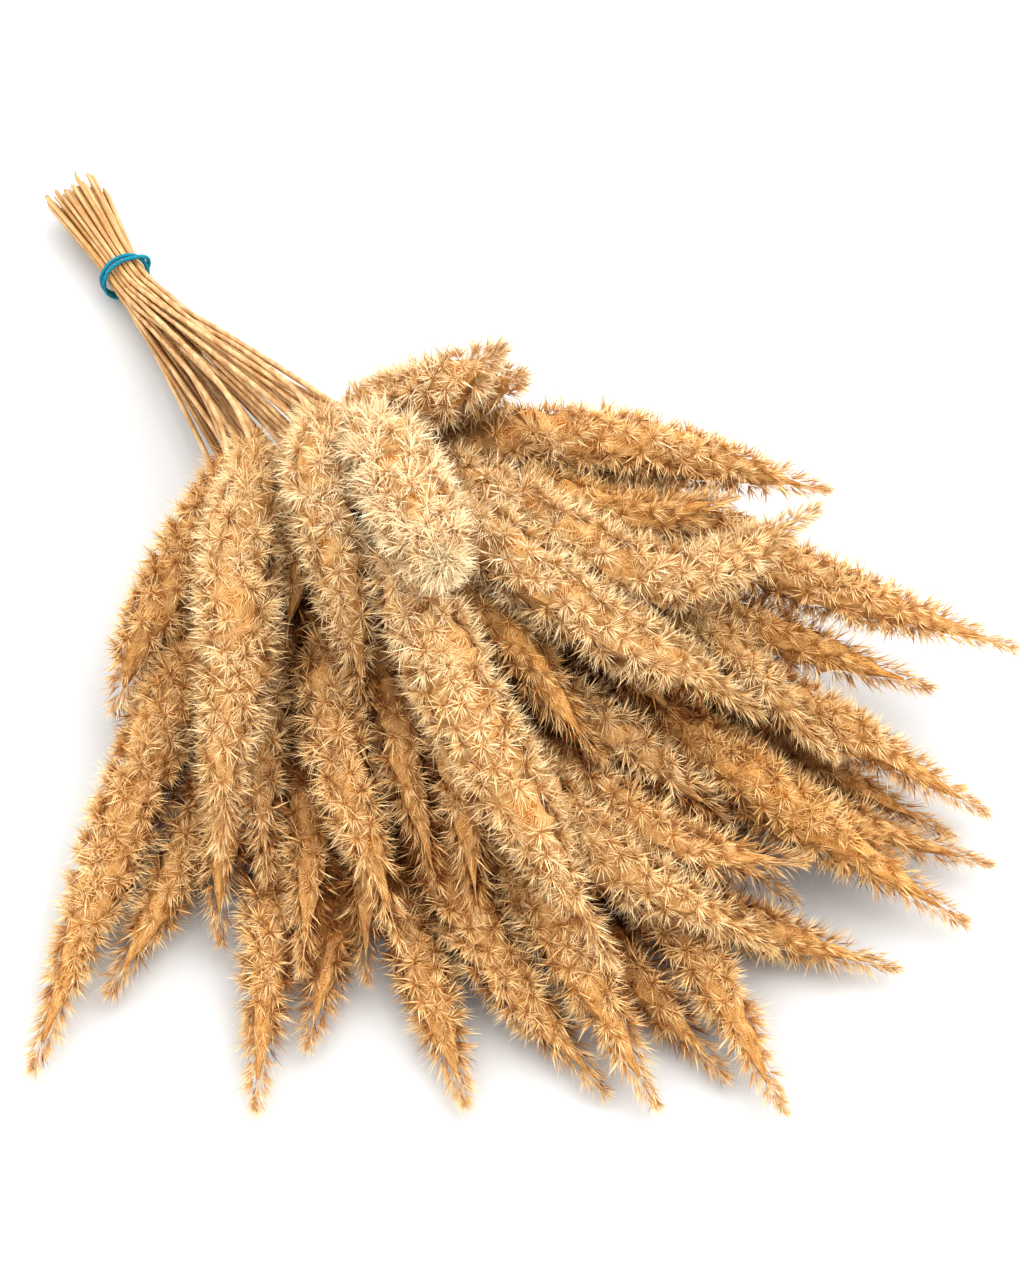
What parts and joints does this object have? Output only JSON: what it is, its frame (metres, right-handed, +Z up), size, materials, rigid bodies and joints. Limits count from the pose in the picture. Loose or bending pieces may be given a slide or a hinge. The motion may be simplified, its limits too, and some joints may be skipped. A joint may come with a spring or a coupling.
{
  "type": "bundle of feather reed grass",
  "caption": "Sheaf of dried feather reed grass lying down, its straw stems tied near the cut ends by a doubled elastic band and its feathery plumes fanned out.",
  "frame": {"origin": "middle of the underside of the bundle's bounding box, on the table it lies on", "axes": "+Z is up. The sheaf lies along Y, with its cut ends toward +Y and its plume tips toward -Y, and +X is across it."},
  "size_m": [0.4354, 0.615, 0.1613],
  "materials": {
    "straw_pale": "dry, matt, cream plume on a straw stem",
    "straw_golden": "dry, matt, golden tan plume on a straw stem",
    "straw_brown": "dry, matt, brown plume on a straw stem",
    "band_teal": "matt woven cover on an elastic cord"
  },
  "bodies": {
    "root": {"stalk_01": "straw_golden", "stalk_02": "straw_golden", "stalk_03": "straw_golden", "stalk_04": "straw_golden", "stalk_05": "straw_pale", "stalk_06": "straw_golden", "stalk_07": "straw_golden", "stalk_08": "straw_pale", "stalk_09": "straw_golden", "stalk_10": "straw_golden", "stalk_11": "straw_golden", "stalk_12": "straw_golden", "stalk_13": "straw_golden", "stalk_14": "straw_golden", "stalk_15": "straw_golden", "stalk_16": "straw_golden", "stalk_17": "straw_pale", "stalk_18": "straw_golden", "stalk_19": "straw_golden", "stalk_20": "straw_pale", "stalk_21": "straw_golden", "stalk_22": "straw_brown", "stalk_23": "straw_pale", "stalk_24": "straw_golden", "stalk_25": "straw_pale", "stalk_26": "straw_golden", "stalk_27": "straw_golden", "stalk_28": "straw_golden", "stalk_29": "straw_golden", "stalk_30": "straw_golden", "stalk_31": "straw_brown", "stalk_32": "straw_golden", "stalk_33": "straw_golden", "stalk_34": "straw_pale", "stalk_35": "straw_brown", "stalk_36": "straw_brown", "stalk_37": "straw_pale", "stalk_38": "straw_brown", "stalk_39": "straw_golden", "stalk_40": "straw_pale", "stalk_41": "straw_brown", "stalk_42": "straw_golden", "stalk_43": "straw_brown", "stalk_44": "straw_golden", "stalk_45": "straw_brown", "stalk_46": "straw_pale", "tie_band": "band_teal"}
  },
  "joints": []
}
